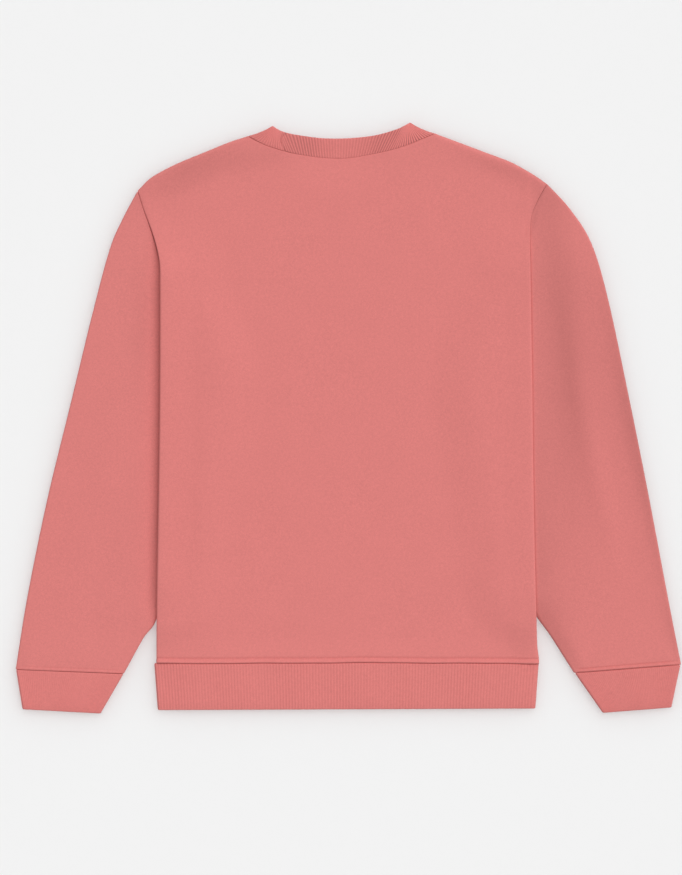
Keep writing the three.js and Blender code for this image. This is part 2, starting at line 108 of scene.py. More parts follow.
body = {
    "thick": 5.4,  # both layers together, as they lie
    "foldThick": 7.6,  # where the back rolls under at the sides
    "seamThick": 6,  # at the armhole seams and shoulders
    "sleeveThick": 5.4,
    "hemSeam": 55.7,
    "hemLeft": -233.2,  # left end of the hem band
    "waverFade": (5, 25),  # up from the hem seam, where its waver ends
    "edgeLow": 56,  # lowest level of the side folds
    "underarm": 388,
    "tuckTop": 522,  # above here the armhole seam shows
    "tuckFade": 40,
    "liftLow": 58,  # the body starts to climb over the sleeves
    "liftFull": 106,
    "liftTop": 606,
    "climbFrom": 86,  # in from the inner edge of the sleeve below
    "climbTo": 22,
    "foldTurn": 3.4,  # how far in from the edge the side roll starts
    "seamTurn": 2,  # the same where the edge turns down to the armhole seam
    "shoulderTurn": 5,
    "frontNeckDrop": 106,
    "frontFreeDrop": 96,  # depth of the front neckband's free edge
}

# Edge of the body as it lies: the side fold, and above it the armhole seam
bodyEdge = {
    "left": table("y x", [
        (56, -231.5), (130, -230.6), (250, -228.5), (370, -227), (515, -226.6),
        (543, -227.6), (573, -234.8), (610, -248.1), (630, -254.5),
    ]),
    "right": table("y x", [
        (50, 232.9), (61, 233.1), (78, 231), (120, 229.6), (250, 226.7), (400, 224.8),
        (560, 222.6), (595, 223.6), (612, 229.2), (638, 243.2),
    ]),
}

# Side seam and armhole seam where the body hides them
hiddenSeam = table("y inset", [
    (56, 50), (300, 49), (388, 48), (430, 40), (480, 20), (510, 4), (522, 0),
])

# Shoulder line and back neck seam from left to right, in three stretches
shoulderLineLeft = table("x y", [
    (-254.5, 630), (-241, 643.6), (-230, 650.9), (-208, 662.2), (-175, 676), (-142, 689.3), (-120.5, 696.2),
])
backNeckSeam = table("x y", [
    (-120.5, 696.2), (-97, 684.4), (-57, 673.6), (-8.5, 669), (30, 674), (68, 683.4), (107, 699.4),
])
shoulderLineRight = table("x y", [
    (107, 699.4), (135, 689), (168, 676.6), (199, 664.8), (217, 655.2), (230, 647.3), (243.2, 638),
])

# Free edge of the neckband's back arc
neckFreeEdge = table("x y", [
    (-90.6, 708.5), (-80, 702.4), (-62, 697.8), (-21, 693.3), (28, 696.2), (60, 704.4), (76.8, 712.5),
])

# Sleeve sections from the armhole to the cuff seam: where the outer and inner edges lie
sleeveSections = {
    "left": table("outerX outerY innerX innerY", [
        (-254.5, 630, -180.6, 388), (-273, 595, -186, 352), (-288, 560, -192, 320),
        (-307.8, 487, -204, 257), (-336, 371, -217, 187), (-364.5, 254, -230.8, 112),
        (-388.4, 137, -248, 85), (-402.8, 48, -271, 43),
    ]),
    "right": table("outerX outerY innerX innerY", [
        (243.2, 638, 176.6, 388), (271, 607.6, 184, 354), (297, 566, 191, 321),
        (317.6, 497, 204, 258), (344.3, 371, 212, 192), (367.7, 254, 219, 133),
        (389.8, 137, 249, 86), (406, 54, 275.6, 44),
    ]),
}
for rows in sleeveSections.values():
    rows["v"] = np.linspace(0, 1, len(rows["outerX"]))

outward = {"left": -1, "right": 1}
shoulderY = {side: bodyEdge[side]["y"][-1] for side in bodyEdge}
shoulderX = {side: bodyEdge[side]["x"][-1] for side in bodyEdge}
# Ends of the neckband
bandLeft = {name: backNeckSeam[name][0] for name in ("x", "y")}
bandRight = {name: backNeckSeam[name][-1] for name in ("x", "y")}
neckMiddle = (bandLeft["x"] + bandRight["x"]) / 2
neckHalf = (bandRight["x"] - bandLeft["x"]) / 2


# Where the body's edge lies at a level
def edgeX(side, y):
    return along(bodyEdge[side], "y", "x", y)


# Side seam below the underarm, armhole seam above it
def seamX(side, y):
    inset = np.where(y < body["tuckTop"], along(hiddenSeam, "y", "inset", y), 0)
    return edgeX(side, y) - outward[side] * np.maximum(inset, 0)


# Level of the body's top edge: the shoulder lines and, between them, the back neck seam
def topY(x):
    left, neck, right = (along(t, "x", "y", x) for t in (shoulderLineLeft, backNeckSeam, shoulderLineRight))
    return np.where(x < bandLeft["x"], left, np.where(x < bandRight["x"], neck, right))


# Shoulder line and front neck seam, which is half an ellipse
def frontTopY(x):
    gap = 2 * cloth["seamGap"]
    t = (x - neckMiddle) / (neckHalf + gap)
    drop = (body["frontNeckDrop"] + gap) * np.sqrt(np.maximum(1 - t * t, 0))
    ellipse = mix(bandLeft["y"], bandRight["y"], (1 + t) / 2) - drop
    return np.where((x < bandLeft["x"]) | (x > bandRight["x"]), topY(x), ellipse)


# How far a place is from the middle of the neck opening: 1 on the front neck seam
def neckReach(x, y):
    level = mix(bandLeft["y"], bandRight["y"], (x - bandLeft["x"]) / (2 * neckHalf))
    return np.hypot((x - neckMiddle) / neckHalf, np.maximum(level - y, 0) / body["frontNeckDrop"])


# Soft folds on the upper face: middle, direction, half length, half width and rise
folds = table("x y turn long wide value", [
    (-196, 640, 26, 58, 15, -2.6),  # under the left shoulder line
    (-176, 676, 25, 42, 7, 0.9),
    (203, 640, -26, 42, 13, -1.7),  # under the right one
    (172, 668, -22, 40, 7, 0.7),
    (300, 300, 102, 120, 15, 2),  # ridge down the right sleeve
    (262, 420, 98, 95, 13, -1.4),  # trough between it and the body
    (345, 330, 102, 115, 16, -1.5),  # trough outside it
    (252, 84, -56, 44, 9, -1.5),  # along the right sleeve's inner edge
    (-286, 330, 78, 110, 22, 0.9),  # swell down the left sleeve
    (-300, 160, 84, 60, 14, -0.7),
    (-262, 92, 60, 30, 8, -0.8),
    (-120, 560, 60, 70, 18, 0.5),
    (96, 588, 112, 62, 15, 0.45),
    (60, 330, 84, 120, 24, 0.4),
    (-90, 210, 96, 95, 20, -0.4),
    (150, 150, 80, 70, 16, -0.35),
    (-176, 300, 91, 120, 12, 0.5),
])


# Start + the sum of soft areas, each a bell across its length and its width
def softAreas(areas, start, x, y):
    total = start + 0 * x
    for area in eachRow(areas):
        turn = math.radians(area["turn"])
        ahead = (x - area["x"]) * math.cos(turn) + (y - area["y"]) * math.sin(turn)
        aside = (y - area["y"]) * math.cos(turn) - (x - area["x"]) * math.sin(turn)
        total = total + area["value"] * bell(ahead, 0, area["long"]) * bell(aside, 0, area["wide"])
    return total


# Rise of the soft folds at a place
def foldRise(x, y):
    return softAreas(folds, 0, x, y)


# Uneven lie of soft cloth: a few long waves that never repeat
clothWaves = table("rise alongX alongY start", [
    (0.20, 31, 83, 0.7), (0.16, -97, 27, 2.1), (0.07, 13.7, -41, 4), (0.05, 29, 11.3, 1.2),
])


# Sum of rise x sine of (x / alongX + y / alongY + start)
def unevenness(x, y):
    return sum(
        wave["rise"] * np.sin(x / wave["alongX"] + y / wave["alongY"] + wave["start"])
        for wave in eachRow(clothWaves)
    )


# Height of the body's underside, which climbs over the sleeve that lies under each side
def lift(x, y):
    reach = {}
    for side in outward:
        rows = {name: column[::-1] for name, column in sleeveSections[side].items()}
        below = np.abs(along(rows, "innerY", "innerX", np.maximum(y, rows["innerY"][0])))
        reach[side] = np.where(y < body["underarm"], below, np.abs(seamX(side, y)))
    reachHere = np.where(x < 0, reach["left"], reach["right"])
    over = ramp(np.abs(x), reachHere - body["climbFrom"], reachHere - body["climbTo"])
    low = ramp(y, body["liftLow"], body["liftFull"])
    high = 1 - ramp(y, body["tuckTop"], body["liftTop"])
    return (body["sleeveThick"] + cloth["seamGap"]) * over * low * high


bodyLook = {
    "plainFrom": 40,  # in from the edge, where the plain thickness starts
    "seamLevels": (640, 690),  # between these it thickens towards the shoulder seams
    "leftRise": 5.8,  # the left side roll stands higher than the right one
    "rightRise": -1,
    "rollRun": (3, 46),  # in from the edge
    "rollStart": (92, 160),  # levels
    "rollEnd": (520, 580),
    "neckDip": 2.3,  # over the hole of the front neck
    "neckDipReach": 0.72,  # share of the way from the neck's middle to the front seam
    "neckDipRun": 0.5,
    "hemSwell": 1.4,  # the body rises to the band's height
    "hemSwellRun": (4, 34),
    "hemRidge": 1.5,  # seam allowance under the stitching
    "hemRidgeAt": 2,
    "hemRidgeHalf": 1.9,
    "hemStitch": 5.8,  # up from the seam, in a trough
    "hemTrough": 1,
    "hemTroughHalf": 1.5,
    "armholeStitch": 4.6,  # in from the seam, in a trough
    "armholeTrough": 0.9,
    "armholeTroughHalf": 1.4,
    "armholeTroughFrom": (570, 592),  # levels
    "unevenFrom": (6, 30),  # up from the hem seam
    "leastGap": 0.7,  # between the two layers
    "leastSoft": 0.25,
}


# Distance in from the body's edge on its own side
def fromEdge(x, y):
    left = x - edgeX("left", np.minimum(y, shoulderY["left"]))
    right = edgeX("right", np.minimum(y, shoulderY["right"])) - x
    return np.where(x < 0, left, right)


# Height of the back's upper face: lift + thickness + side rolls - dip over the neck opening - armhole
# trough + folds + the hem's ridge, trough and swell
def backTop(x, y):
    look = bodyLook
    inside = fromEdge(x, y)
    edgeThick = mix(body["foldThick"], body["seamThick"], ramp(y, body["tuckTop"], body["liftTop"]))
    panelThick = mix(edgeThick, body["thick"], ramp(inside, body["foldTurn"], look["plainFrom"]))
    thick = mix(panelThick, body["seamThick"], ramp(y, *look["seamLevels"]))
    roll = np.where(x < 0, look["leftRise"], look["rightRise"]) * (1 - ramp(inside, *look["rollRun"]))
    roll = roll * ramp(y, *look["rollStart"]) * (1 - ramp(y, *look["rollEnd"]))
    neckDip = look["neckDip"] * ramp(look["neckDipReach"] - neckReach(x, y), 0, look["neckDipRun"])
    d = y - body["hemSeam"]
    hem = look["hemRidge"] * bell(d, look["hemRidgeAt"], look["hemRidgeHalf"])
    hem = hem - look["hemTrough"] * bell(d, look["hemStitch"], look["hemTroughHalf"])
    hem = hem + look["hemSwell"] * (1 - ramp(d, *look["hemSwellRun"]))
    armhole = look["armholeTrough"] * bell(inside, look["armholeStitch"], look["armholeTroughHalf"])
    armhole = armhole * ramp(y, *look["armholeTroughFrom"])
    soft = foldRise(x, y) + unevenness(x, y) * ramp(d, *look["unevenFrom"])
    least = 2 * cloth["fleeceWall"] + look["leastGap"]
    return lift(x, y) + atLeast(thick + roll - neckDip - armhole + soft, least, look["leastSoft"]) + hem


# Slight waver of the hem seam
hemWaves = table("rise long start", [(0.45, 57, 1.1), (0.25, 21, 0.3), (0.1, 9.5, 0)])


# Sum of rise x sine of (x / long + start)
def hemWaver(x):
    return sum(wave["rise"] * np.sin(x / wave["long"] + wave["start"]) for wave in eachRow(hemWaves))


# Level with the hem seam's waver, which fades out over the panel
def wavered(x, y):
    low, high = (body["hemSeam"] + above for above in body["waverFade"])
    return y + hemWaver(x) * (1 - ramp(y, low, high))


# Sine and cosine of a turn, drawn out towards a square corner
def squareTurn(angle, power):
    return np.sin(angle) ** power, np.sign(np.cos(angle)) * np.abs(np.cos(angle)) ** power


# Nodes of the materials

# Node group with one Vector input and the outputs named
def newGroup(name, outputs):
    group = bpy.data.node_groups.new(name, "ShaderNodeTree")
    group.interface.new_socket("Vector", in_out="INPUT", socket_type="NodeSocketVector")
    for label, kind in outputs:
        group.interface.new_socket(label, in_out="OUTPUT", socket_type=kind)
    return group


# Node of one kind with its settings
def addNode(tree, kind, **values):
    node = tree.nodes.new(kind)
    for name, value in values.items():
        setattr(node, name, value)
    return node


# Result of a Math node on up to three numbers or outputs
def mathNode(tree, operation, first, second=None, third=None):
    node = addNode(tree, "ShaderNodeMath", operation=operation)
    for socket, value in zip(node.inputs, (first, second, third)):
        if isinstance(value, (int, float)):
            socket.default_value = value
        elif value is not None:
            tree.links.new(value, socket)
    return node.outputs[0]


knit = {"wale": 1.25, "course": 0.95, "slant": 1.3, "vee": 0.35}


# Jersey face: columns of small vees. Height = roundness of the column + sine of (course + slant x distance
# from the column's middle)
def knitGroup():
    group = newGroup("jerseyVees", [("Height", "NodeSocketFloat")])
    entry = addNode(group, "NodeGroupInput")
    leave = addNode(group, "NodeGroupOutput")
    split = addNode(group, "ShaderNodeSeparateXYZ")
    group.links.new(entry.outputs["Vector"], split.inputs[0])
    wale = mathNode(group, "MULTIPLY", split.outputs["X"], perMetre / knit["wale"])
    course = mathNode(group, "MULTIPLY", split.outputs["Y"], perMetre / knit["course"])
    aside = mathNode(group, "PINGPONG", wale, 0.5)
    phase = mathNode(group, "MULTIPLY_ADD", aside, knit["slant"] * 2, course)
    vee = mathNode(group, "SINE", mathNode(group, "MULTIPLY", phase, 2 * math.pi))
    roundness = mathNode(group, "SINE", mathNode(group, "MULTIPLY", aside, math.pi))
    height = mathNode(group, "MULTIPLY_ADD", vee, knit["vee"], roundness)
    group.links.new(height, leave.inputs["Height"])
    return group


fluffNoise = {
    "plainTone": 0.775,
    "tones": [(34, 3, 0.04), (330, 2, 0.16), (900, 1, 0.25)],  # scale, detail and share of each noise
    "pile": (1500, 2),
}


# Fluff and slight unevenness of dyed cotton. Tone = plain tone + sum of share x noise, which is about 1.
# Fluff is the finest noise, 0 to 1.
def fluffGroup():
    group = newGroup("cottonFluff", [("Tone", "NodeSocketFloat"), ("Fluff", "NodeSocketFloat")])
    entry = addNode(group, "NodeGroupInput")
    leave = addNode(group, "NodeGroupOutput")

    def noise(scale, detail):
        node = addNode(group, "ShaderNodeTexNoise")
        node.inputs["Scale"].default_value = scale
        node.inputs["Detail"].default_value = detail
        group.links.new(entry.outputs["Vector"], node.inputs["Vector"])
        return node.outputs["Fac"]

    tone = fluffNoise["plainTone"]
    for scale, detail, share in fluffNoise["tones"]:
        tone = mathNode(group, "MULTIPLY_ADD", noise(scale, detail), share, tone)
    group.links.new(tone, leave.inputs["Tone"])
    group.links.new(noise(*fluffNoise["pile"]), leave.inputs["Fluff"])
    return group


jerseyVees = knitGroup()
cottonFluff = fluffGroup()

cotton = {
    "sheenRoughness": 0.6,
    "sheenTint": (1, 0.72, 0.7, 1),
    "specular": 0.2,
    "bumpStrength": 0.5,
    "bumpDepth": 0.0004,  # metres
}

looks = {
    "fleece": {"color": (0.697, 0.207, 0.194), "roughness": 0.95, "sheen": 0.18, "knit": 0.3, "fluff": 0.25},
    "rib": {"color": (0.69, 0.201, 0.188), "roughness": 0.92, "sheen": 0.14, "knit": 0.22, "fluff": 0.2},
    "thread": {"color": (0.68, 0.196, 0.184), "roughness": 0.7, "sheen": 0.1, "knit": 0, "fluff": 0.05},
}


# Cotton: one colour times tone times the painted shade stored on the piece, with knit and fluff as bump
def cottonMaterial(name):
    look = looks[name]
    material = bpy.data.materials.new(name)
    material.use_nodes = True
    tree = material.node_tree
    tree.nodes.clear()
    shader = addNode(tree, "ShaderNodeBsdfPrincipled")
    shader.inputs["Roughness"].default_value = look["roughness"]
    shader.inputs["Sheen Weight"].default_value = look["sheen"]
    shader.inputs["Sheen Roughness"].default_value = cotton["sheenRoughness"]
    shader.inputs["Sheen Tint"].default_value = cotton["sheenTint"]
    shader.inputs["Specular IOR Level"].default_value = cotton["specular"]
    output = addNode(tree, "ShaderNodeOutputMaterial")
    tree.links.new(shader.outputs["BSDF"], output.inputs["Surface"])
    coordinates = addNode(tree, "ShaderNodeTexCoord")
    fluff = addNode(tree, "ShaderNodeGroup", node_tree=cottonFluff)
    tree.links.new(coordinates.outputs["Object"], fluff.inputs["Vector"])
    # Painted shade stored on the piece
    paintedShade = addNode(tree, "ShaderNodeAttribute", attribute_name="paintedShade")
    tone = mathNode(tree, "MULTIPLY", fluff.outputs["Tone"], paintedShade.outputs["Fac"])
    color = addNode(tree, "ShaderNodeVectorMath", operation="SCALE")
    color.inputs[0].default_value = look["color"]
    tree.links.new(tone, color.inputs["Scale"])
    tree.links.new(color.outputs["Vector"], shader.inputs["Base Color"])
    height = mathNode(tree, "MULTIPLY", fluff.outputs["Fluff"], look["fluff"])
    if look["knit"]:
        vees = addNode(tree, "ShaderNodeGroup", node_tree=jerseyVees)
        place = addNode(tree, "ShaderNodeUVMap", uv_map="cloth")
        tree.links.new(place.outputs["UV"], vees.inputs["Vector"])
        height = mathNode(tree, "MULTIPLY_ADD", vees.outputs["Height"], look["knit"], height)
    bump = addNode(tree, "ShaderNodeBump")
    bump.inputs["Strength"].default_value = cotton["bumpStrength"]
    bump.inputs["Distance"].default_value = cotton["bumpDepth"]
    tree.links.new(height, bump.inputs["Height"])
    tree.links.new(bump.outputs["Normal"], shader.inputs["Normal"])
    return material


materials = {name: cottonMaterial(name) for name in looks}
print("materials made")

# The frame's origin is the middle of the footprint, so the hem band's box gives the shift
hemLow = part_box("hem_band")[0]
shift = np.array([hemLow.x * perMetre - body["hemLeft"], hemLow.y * perMetre, 0])


# Quads of a grid of points, as corner numbers of its rows and columns. Where it closes on itself, the
# last row or column meets the first.
def gridQuads(rows, columns, closedRows, closedColumns):
    r, c = np.mgrid[0 : rows - (not closedRows), 0 : columns - (not closedColumns)]
    cornerRows = np.stack([r, r, r + 1, r + 1], -1).reshape(-1, 4)
    cornerColumns = np.stack([c, c + 1, c + 1, c], -1).reshape(-1, 4)
    return cornerRows, cornerColumns


# Mesh of quads with its UV map, its painted shade at each point and one material, placed on the body
def makePiece(name, points, quads, uv, material, paintedShade=None):
    corners = points[quads]
    normal = np.cross(corners[:, 2] - corners[:, 0], corners[:, 3] - corners[:, 1])
    # Centre times normal adds up to a multiple of the volume, below zero where the faces point inwards
    if (corners.mean(1) * normal).sum() < 0:
        quads, uv = quads[:, ::-1], uv[:, ::-1]
    mesh = bpy.data.meshes.new(name)
    mesh.vertices.add(len(points))
    mesh.vertices.foreach_set("co", ((points + shift) / perMetre).ravel())
    mesh.loops.add(quads.size)
    mesh.loops.foreach_set("vertex_index", np.ascontiguousarray(quads).ravel())
    mesh.polygons.add(len(quads))
    mesh.polygons.foreach_set("loop_start", np.arange(0, quads.size, 4))
    mesh.update(calc_edges=True)
    mesh.polygons.foreach_set("use_smooth", np.ones(len(quads), bool))
    layer = mesh.uv_layers.new(name="cloth")
    layer.uv.foreach_set("vector", np.ascontiguousarray(uv / perMetre).ravel())
    # Painted shade at each point, 1 where none is painted
    tone = mesh.attributes.new("paintedShade", "FLOAT", "POINT")
    tone.data.foreach_set("value", np.ones(len(points)) if paintedShade is None else paintedShade)
    mesh.set_sharp_from_angle(angle=math.radians(cloth["sharpTurn"]))
    mesh.materials.append(materials[material])
    piece = bpy.data.objects.new(name, mesh)
    bpy.context.scene.collection.objects.link(piece)
    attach(piece, "root")
    print(name, "made,", 2 * len(quads), "triangles")
    return piece


# Length along a row of points from its first one
def runLength(points):
    return np.concatenate([[0], np.cumsum(np.linalg.norm(np.diff(points, axis=0), axis=1))])


# Closed wall of a panel: an upper and a lower grid of the same size, joined along their four edges
def makePanel(name, upper, lower, material, paintedShade=None):
    rows, columns = upper.shape[:2]
    ring = np.concatenate([upper, lower[:, ::-1]], axis=1)
    cornerRows, cornerColumns = gridQuads(rows, 2 * columns, False, True)
    across = runLength(upper[rows // 2])
    acrossRing = np.concatenate([across, across[::-1]])
    down = runLength(upper[:, columns // 2])
    c = np.arange(columns - 1)
    flank = 2 * columns - 1 - c
    bottom = np.stack([c, flank, flank - 1, c + 1], -1)
    cornerRows = np.concatenate([cornerRows, 0 * bottom, 0 * bottom + rows - 1])
    cornerColumns = np.concatenate([cornerColumns, bottom, bottom[:, ::-1]]) % (2 * columns)
    quads = cornerRows * 2 * columns + cornerColumns
    uv = np.stack([acrossRing[cornerColumns], down[cornerRows]], -1)
    tone = None if paintedShade is None else paintedShade(ring[..., 0], ring[..., 1]).ravel()
    return makePiece(name, ring.reshape(-1, 3), quads, uv, material, tone)


# Closed wall of a tube: rings of points, of which the first half run along the outside and the rest
# back along the inside, so that the grid closes both ways
def makeTube(name, rings, distance, material, paintedShade=None):
    rows, columns = rings.shape[:2]
    cornerRows, cornerColumns = gridQuads(rows, columns, True, True)
    middle = rings[rows // 4]
    around = runLength(np.concatenate([middle, middle[:1]]))
    uv = np.stack([around[cornerColumns], np.append(distance, distance[0])[cornerRows]], -1)
    quads = (cornerRows % rows) * columns + cornerColumns % columns
    tone = None if paintedShade is None else paintedShade(rings[..., 0], rings[..., 1]).ravel()
    return makePiece(name, rings.reshape(-1, 3), quads, uv, material, tone)


# Uneven steps from 0 to 1: a table of places with the number of steps up to each
def unevenSteps(stretches):
    parts, start = [np.zeros(1)], 0
    for end, count in stretches:
        parts.append(np.linspace(start, end, count + 1)[1:])
        start = end
    return np.concatenate(parts)


# Rings round a flattened tube: over the upper wall, round the far edge, back along the lower wall and
# round the near edge. Depth is how far in from the outer face a point lies.
def tubeRings(tube, v, depth, over, under, turnSteps):
    v = v[:, None]
    counts = np.cumsum([len(over), turnSteps, len(under), turnSteps])
    depthOver, depthFar, depthUnder, depthNear = np.split(depth, counts[:-1], axis=1)
    (nearX, nearY), (farX, farY) = tube["plan"](0, 0, v), tube["plan"](0, 1, v)
    width = np.hypot(farX - nearX, farY - nearY)
    radius = {0: tube["topZ"](0 * v, v) / 2, 1: tube["topZ"](0 * v + 1, v) / 2}
    angles = (math.pi * (np.arange(turnSteps) + 0.5) / turnSteps)[None, :]

    def flat(underneath, share, depthHere):
        s = mix(radius[0] / width, 1 - radius[1] / width, share[None, :])
        x, y = tube["plan"](underneath, s, v)
        z = depthHere + 0 * s if underneath else tube["topZ"](s, v) - depthHere
        return np.stack(np.broadcast_arrays(x, y, z), -1)

    def turned(end, turn, depthHere):
        r = radius[end]
        inset = (r - (r - depthHere) * np.sin(turn)) / width
        s = 1 - inset if end else inset
        low = ramp(turn / math.pi, *cloth["turnBlend"])
        x, y = (mix(a, b, low) for a, b in zip(tube["plan"](0, s, v), tube["plan"](1, s, v)))
        return np.stack(np.broadcast_arrays(x, y, r + (r - depthHere) * np.cos(turn)), -1)

    return np.concatenate([
        flat(0, over, depthOver),
        turned(1, angles, depthFar),
        flat(1, under[::-1], depthUnder),
        turned(0, math.pi - angles, depthNear),
    ], axis=1)


# Painted shade and painted light: soft areas of the cloth's colour a little darker or lighter,
# standing in for shade and light on it
paintedShadeAreas = table("x y turn long wide value", [
    (-196, 648, 26, 66, 22, -0.1),  # under the left shoulder line
    (-112, 668, 12, 60, 15, -0.06),
    (205, 640, -30, 55, 22, -0.05),  # under the right one
    (150, 665, -20, 60, 14, -0.03),
    (-200, 300, 90, 260, 26, -0.03),
    (345, 360, 103, 190, 34, -0.13),  # right sleeve: outside its ridge
    (262, 440, 95, 190, 26, -0.175),  # and inside it
    (285, 580, 120, 60, 30, 0.04),
    (-248, 470, 88, 70, 13, -0.05),  # beside the left roll
    (226, 350, 90.9, 300, 3.2, 0.07),  # the fold of the body that lies on it
    (250, 84, -56, 44, 14, -0.12),  # along the sleeve's inner edge
    (366, 250, -79, 170, 8, -0.06),  # and its outer one
    (398, 90, -75, 40, 10, -0.08),
    (-245, 602, -71, 34, 2.6, -0.08),  # soft shade along the armhole seams
    (237, 626, 65, 16, 3, -0.06),
    (227, 593, 77, 20, 3.2, -0.08),
])


# 1 + the painted shade and painted light at a place: its darker and lighter areas
def paintedShadeAt(x, y):
    return softAreas(paintedShadeAreas, 1, x, y)


# Back panel

backPiece = {
    "rows": [(0.004, 5), (0.02, 14), (0.08, 14), (0.90, 120), (0.985, 26), (1, 16)],
    "columns": 150,
    "turnSteps": 14,
    "underSteps": 5,
    "height": 600,  # to take the turned edges as shares of it
    "endRun": 0.5,  # least cloth under an edge
    "square": 0.6,  # how square the side roll is, where 1 is round
    "seamLevelRun": 0.05,  # share of the height below the shoulder's corner
    "hemTurnRun": 1,  # the edge turns down to the hem seam
    "hemTurnDrop": 1.7,
    "neckTurnRun": 1.3,  # and to the neck seam
    "neckTurnDrop": 0.9,
    "shoulderFrom": (-1.5, 2.5),  # out from the end of the neckband
}

# How deep the neck seam looks in the middle, and how much deeper near its ends
neckSeam = {
    "middle": 0.25,
    "left": 0.75,
    "leftRun": (50, 78),
    "right": 0.35,
    "rightRun": (48, 78),
    "endRun": (-121, -108),
}


# Share of the neck seam's depth: (middle + left end + right end) x a ramp from the left corner
def neckSeamShare(x):
    left = neckSeam["left"] * ramp(-x, *neckSeam["leftRun"])
    right = neckSeam["right"] * ramp(x, *neckSeam["rightRun"])
    return (neckSeam["middle"] + left + right) * ramp(x, *neckSeam["endRun"])


# Rows run from the hem seam to the top edge and columns from side to side. At each side the wall rolls
# round a half ellipse and lies under as far as the side seam, or turns down a quarter to the armhole seam.
def backGrid(depth):
    v = unevenSteps(backPiece["rows"])[:, None]
    level = {side: mix(body["hemSeam"], shoulderY[side], v) for side in outward}
    rimX = {side: edgeX(side, level[side]) for side in outward}
    foldTop = body["tuckTop"] + body["tuckFade"]
    rolled = {side: 1 - ramp(level[side], body["tuckTop"], foldTop) for side in outward}
    turn = {side: mix(body["seamTurn"], body["foldTurn"], rolled[side]) for side in outward}
    gap, wall = cloth["seamGap"], cloth["fleeceWall"]
    cornerLevel = wall + gap + backPiece["endRun"]

    def topLine(x):
        inNeck = (x > bandLeft["x"]) & (x < bandRight["x"])
        return topY(x) - np.where(inNeck, gap, 0)

    def faceZ(x, y):
        top = backTop(x, y)
        beside = np.maximum(bandLeft["x"] - x, x - bandRight["x"])
        share = ramp(beside, *backPiece["shoulderFrom"])
        t = np.clip(1 - (1 - v) * backPiece["height"] / body["shoulderTurn"], 0, 1)
        drop = np.maximum((top - cornerLevel) * share - depth, 0) * (1 - np.sqrt(1 - t * t))
        hemTurn = np.clip(1 - (y - body["hemSeam"] - gap) / backPiece["hemTurnRun"], 0, 1)
        neckTurn = np.clip(1 - (1 - v) * backPiece["height"] / backPiece["neckTurnRun"], 0, 1) * (1 - share)
        hemDrop = backPiece["hemTurnDrop"] * hemTurn**2
        neckDrop = backPiece["neckTurnDrop"] * neckSeamShare(x) * neckTurn**2
        return top - depth - drop - hemDrop - neckDrop

    def sideColumns(side):
        x, out, wide, under = rimX[side], outward[side], turn[side], rolled[side]
        y = mix(body["hemSeam"] + gap, shoulderY[side], v)
        tucked = np.abs(x - seamX(side, y))
        most = math.pi * mix(0.5, 1, under)
        top = faceZ(x - out * wide, y) + depth
        atSeam = ramp(1 - v, 0, backPiece["seamLevelRun"])
        seamLevel = mix(cornerLevel, body["sleeveThick"] - wall, atSeam)
        foot = np.minimum(mix(seamLevel, lift(x, y), under), top - depth)
        sineMost, cosineMost = squareTurn(most, backPiece["square"])
        height = (top - foot) / (1 - cosineMost)
        steps = np.arange(backPiece["turnSteps"] + 1)[None, :] / backPiece["turnSteps"]
        sine, cosine = squareTurn(most * steps, backPiece["square"])
        inset = wide - (wide - depth) * sine
        rollZ = top - height + (height - depth) * cosine
        start = wide - (wide - depth) * sineMost
        run = np.maximum(tucked - gap - start, backPiece["endRun"])
        part = np.arange(1, backPiece["underSteps"] + 1)[None, :] / backPiece["underSteps"]
        underInset = start - np.cos(most) * run * part
        underX = x - out * underInset
        underZ = mix(foot, lift(underX, y + 0 * underX), under) - depth * np.cos(most)
        underZ = underZ - np.sin(most) * run * part
        columnX = x - out * np.concatenate([inset, underInset], axis=1)
        z = np.concatenate([rollZ, underZ], axis=1)
        return np.stack([columnX, wavered(columnX, y), z], -1)

    def share(x):
        width = shoulderX["right"] - shoulderX["left"] - 2 * body["seamTurn"]
        return (x - shoulderX["left"] - body["seamTurn"]) / width

    neckEnds = [share(bandLeft["x"]), share(bandRight["x"])]
    u = np.unique(np.concatenate([np.linspace(0, 1, backPiece["columns"])[1:-1], neckEnds]))[None, :]
    x = mix(rimX["left"] + turn["left"], rimX["right"] - turn["right"], u)
    xAtTop = mix(shoulderX["left"] + body["seamTurn"], shoulderX["right"] - body["seamTurn"], u)
    y = mix(body["hemSeam"] + gap, topLine(xAtTop), v)
    flat = np.stack([x, wavered(x, y), faceZ(x, y)], -1)
    return np.concatenate([sideColumns("left")[:, ::-1], flat, sideColumns("right")], axis=1)


back = makePanel("backPanel", backGrid(0), backGrid(cloth["fleeceWall"]), "fleece", paintedShadeAt)
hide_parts("back")

# Front panel

frontPiece = {
    "rows": [(0.02, 4), (0.9, 90), (1, 26)],
    "shoulderColumns": 36,
    "neckColumns": 72,
    "settle": (-4, 44),  # up from the underarm, where the panel comes down to the surface
}


